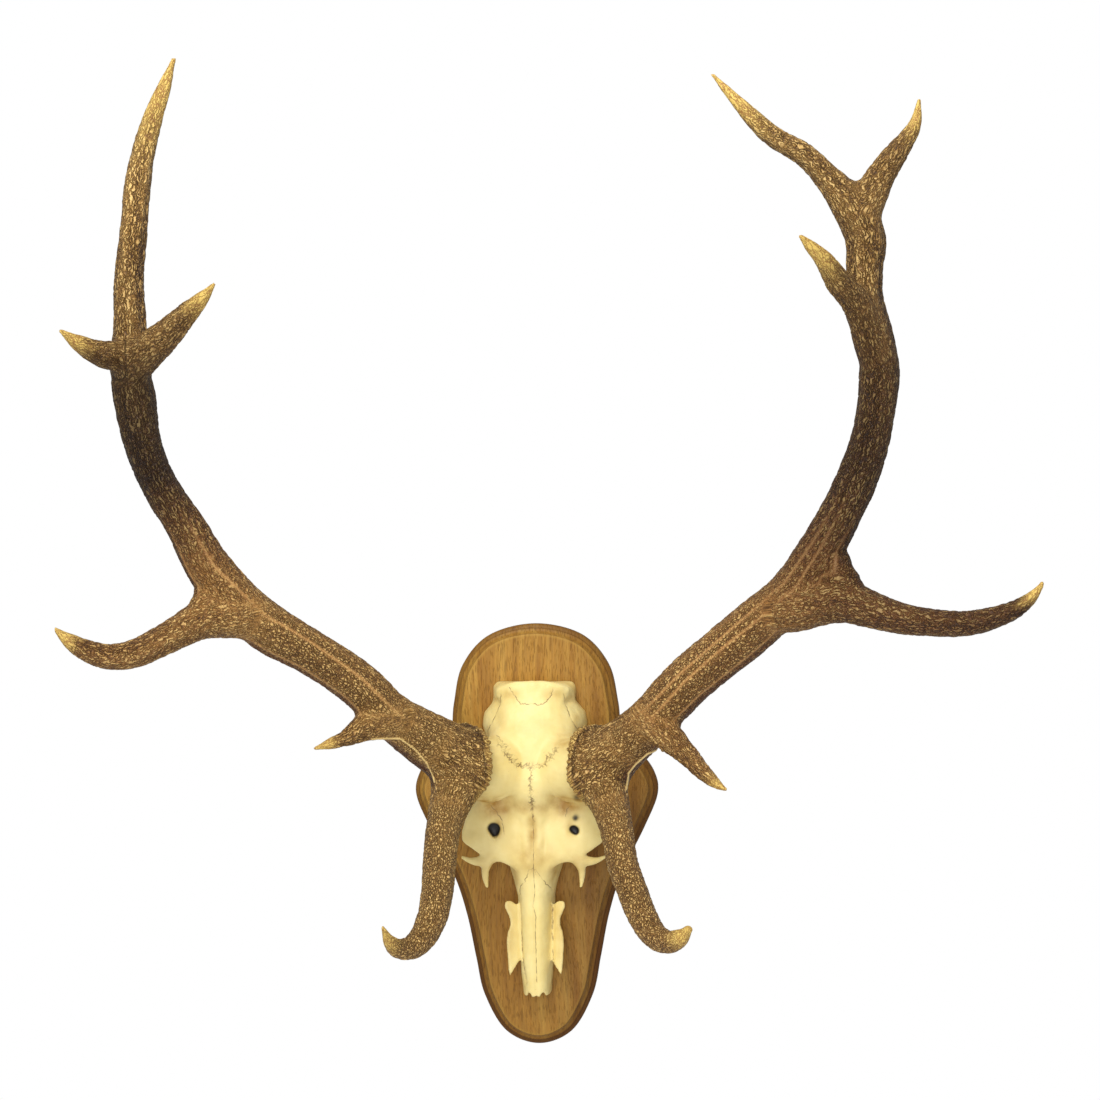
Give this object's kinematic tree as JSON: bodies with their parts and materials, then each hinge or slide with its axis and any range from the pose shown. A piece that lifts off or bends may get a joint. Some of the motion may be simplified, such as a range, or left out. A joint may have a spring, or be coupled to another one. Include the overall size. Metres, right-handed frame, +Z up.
{
  "type": "antler mounting plaque",
  "caption": "Skull top with a pair of branched deer antlers on a shield-shaped oak plaque with a moulded edge, to hang flat on a wall.",
  "frame": {"origin": "middle of the plaque's flat back, on the wall", "axes": "+Z up the wall, -Y out of the wall towards the viewer, +X to the viewer's right"},
  "size_m": [0.8377, 0.4529, 0.9178],
  "materials": {
    "oak": "waxed brown oak with vertical grain, darker on its moulded edge",
    "bone": "dry ivory bone with ochre stains and fine sutures",
    "antler": "brown antler with ridges and pearls, ivory at the tips"
  },
  "bodies": {
    "root": {"plaque": "oak", "skull": "bone", "left_antler": "antler", "right_antler": "antler"}
  },
  "joints": []
}
